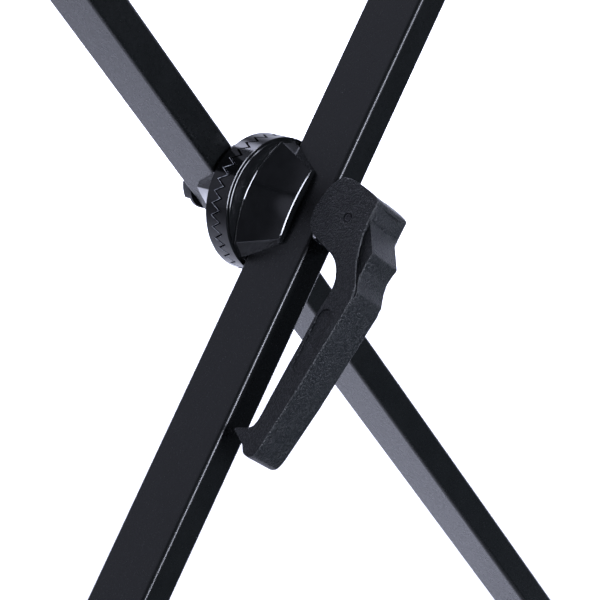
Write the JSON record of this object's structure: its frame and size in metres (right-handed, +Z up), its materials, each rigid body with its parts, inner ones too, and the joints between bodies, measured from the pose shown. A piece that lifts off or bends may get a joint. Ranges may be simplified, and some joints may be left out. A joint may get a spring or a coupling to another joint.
{
  "type": "keyboard stand",
  "caption": "Folding X-frame keyboard stand: two flat steel legs on one draw bolt, locked by a toothed clutch and a cam lever.",
  "frame": {"origin": "middle of the stand's outline at floor level", "axes": "+X across the crossed legs, +Y from the lever side to the back along the cross bars, +Z up"},
  "size_m": [0.7868, 0.4, 0.9285],
  "materials": {
    "powder_coat": "satin black powder coat",
    "clutch_black": "semi-gloss black",
    "lever_moulding": "spark-eroded moulding texture, black",
    "black_rubber": "matte",
    "zinc_plate": "bright zinc",
    "black_steel": "black zinc",
    "bare_steel": "drawn steel"
  },
  "bodies": {
    "front_leg": {"front_leg_tube": "powder_coat", "front_clutch_half": "clutch_black", "front_spacer_sleeve": "bare_steel", "front_foot_cradle": "powder_coat", "front_arm_cradle": "powder_coat", "front_foot_bar": "powder_coat", "front_arm_bar": "powder_coat", "front_foot_caps": "black_rubber", "front_arm_caps": "black_rubber", "front_arm_sleeves": "black_rubber", "front_foot_bolts": "zinc_plate", "front_foot_washers": "zinc_plate", "front_foot_nuts": "zinc_plate", "front_arm_bolts": "zinc_plate", "front_arm_washers": "zinc_plate", "front_arm_nuts": "zinc_plate", "cam_wear_plate": "bare_steel", "release_spring": "bare_steel"},
    "draw_bolt": {"draw_bolt": "zinc_plate", "bolt_washer": "black_steel", "bolt_lock_nut": "black_steel"},
    "rear_leg": {"rear_leg_tube": "powder_coat", "rear_clutch_half": "clutch_black", "rear_spacer_sleeve": "bare_steel", "rear_foot_cradle": "powder_coat", "rear_arm_cradle": "powder_coat", "rear_foot_bar": "powder_coat", "rear_arm_bar": "powder_coat", "rear_foot_caps": "black_rubber", "rear_arm_caps": "black_rubber", "rear_arm_sleeves": "black_rubber", "rear_foot_bolts": "zinc_plate", "rear_foot_washers": "zinc_plate", "rear_foot_nuts": "zinc_plate", "rear_arm_bolts": "zinc_plate", "rear_arm_washers": "zinc_plate", "rear_arm_nuts": "zinc_plate"},
    "lever": {"clamp_lever": "lever_moulding", "lever_pin": "black_steel"}
  },
  "joints": [
    {"name": "bolt_slide", "type": "slide", "parent": "front_leg", "child": "draw_bolt", "axis": [0, 1, 0], "range_m": [0, 0.0065], "deforming": ["release_spring"]},
    {"name": "lever_swing", "type": "hinge", "parent": "draw_bolt", "child": "lever", "pos_m": [0, -0.0745, 0.51175], "axis": [-0.7965, 0, 0.6046], "range_deg": [0, 75]},
    {"name": "leg_fold", "type": "hinge", "parent": "draw_bolt", "child": "rear_leg", "pos_m": [0, 0, 0.51175], "axis": [0, 1, 0], "range_deg": [-50, 70]}
  ],
  "couplings": [
    {"joint": "lever_swing", "follows": "bolt_slide", "rad_per_m": 201.38}
  ]
}
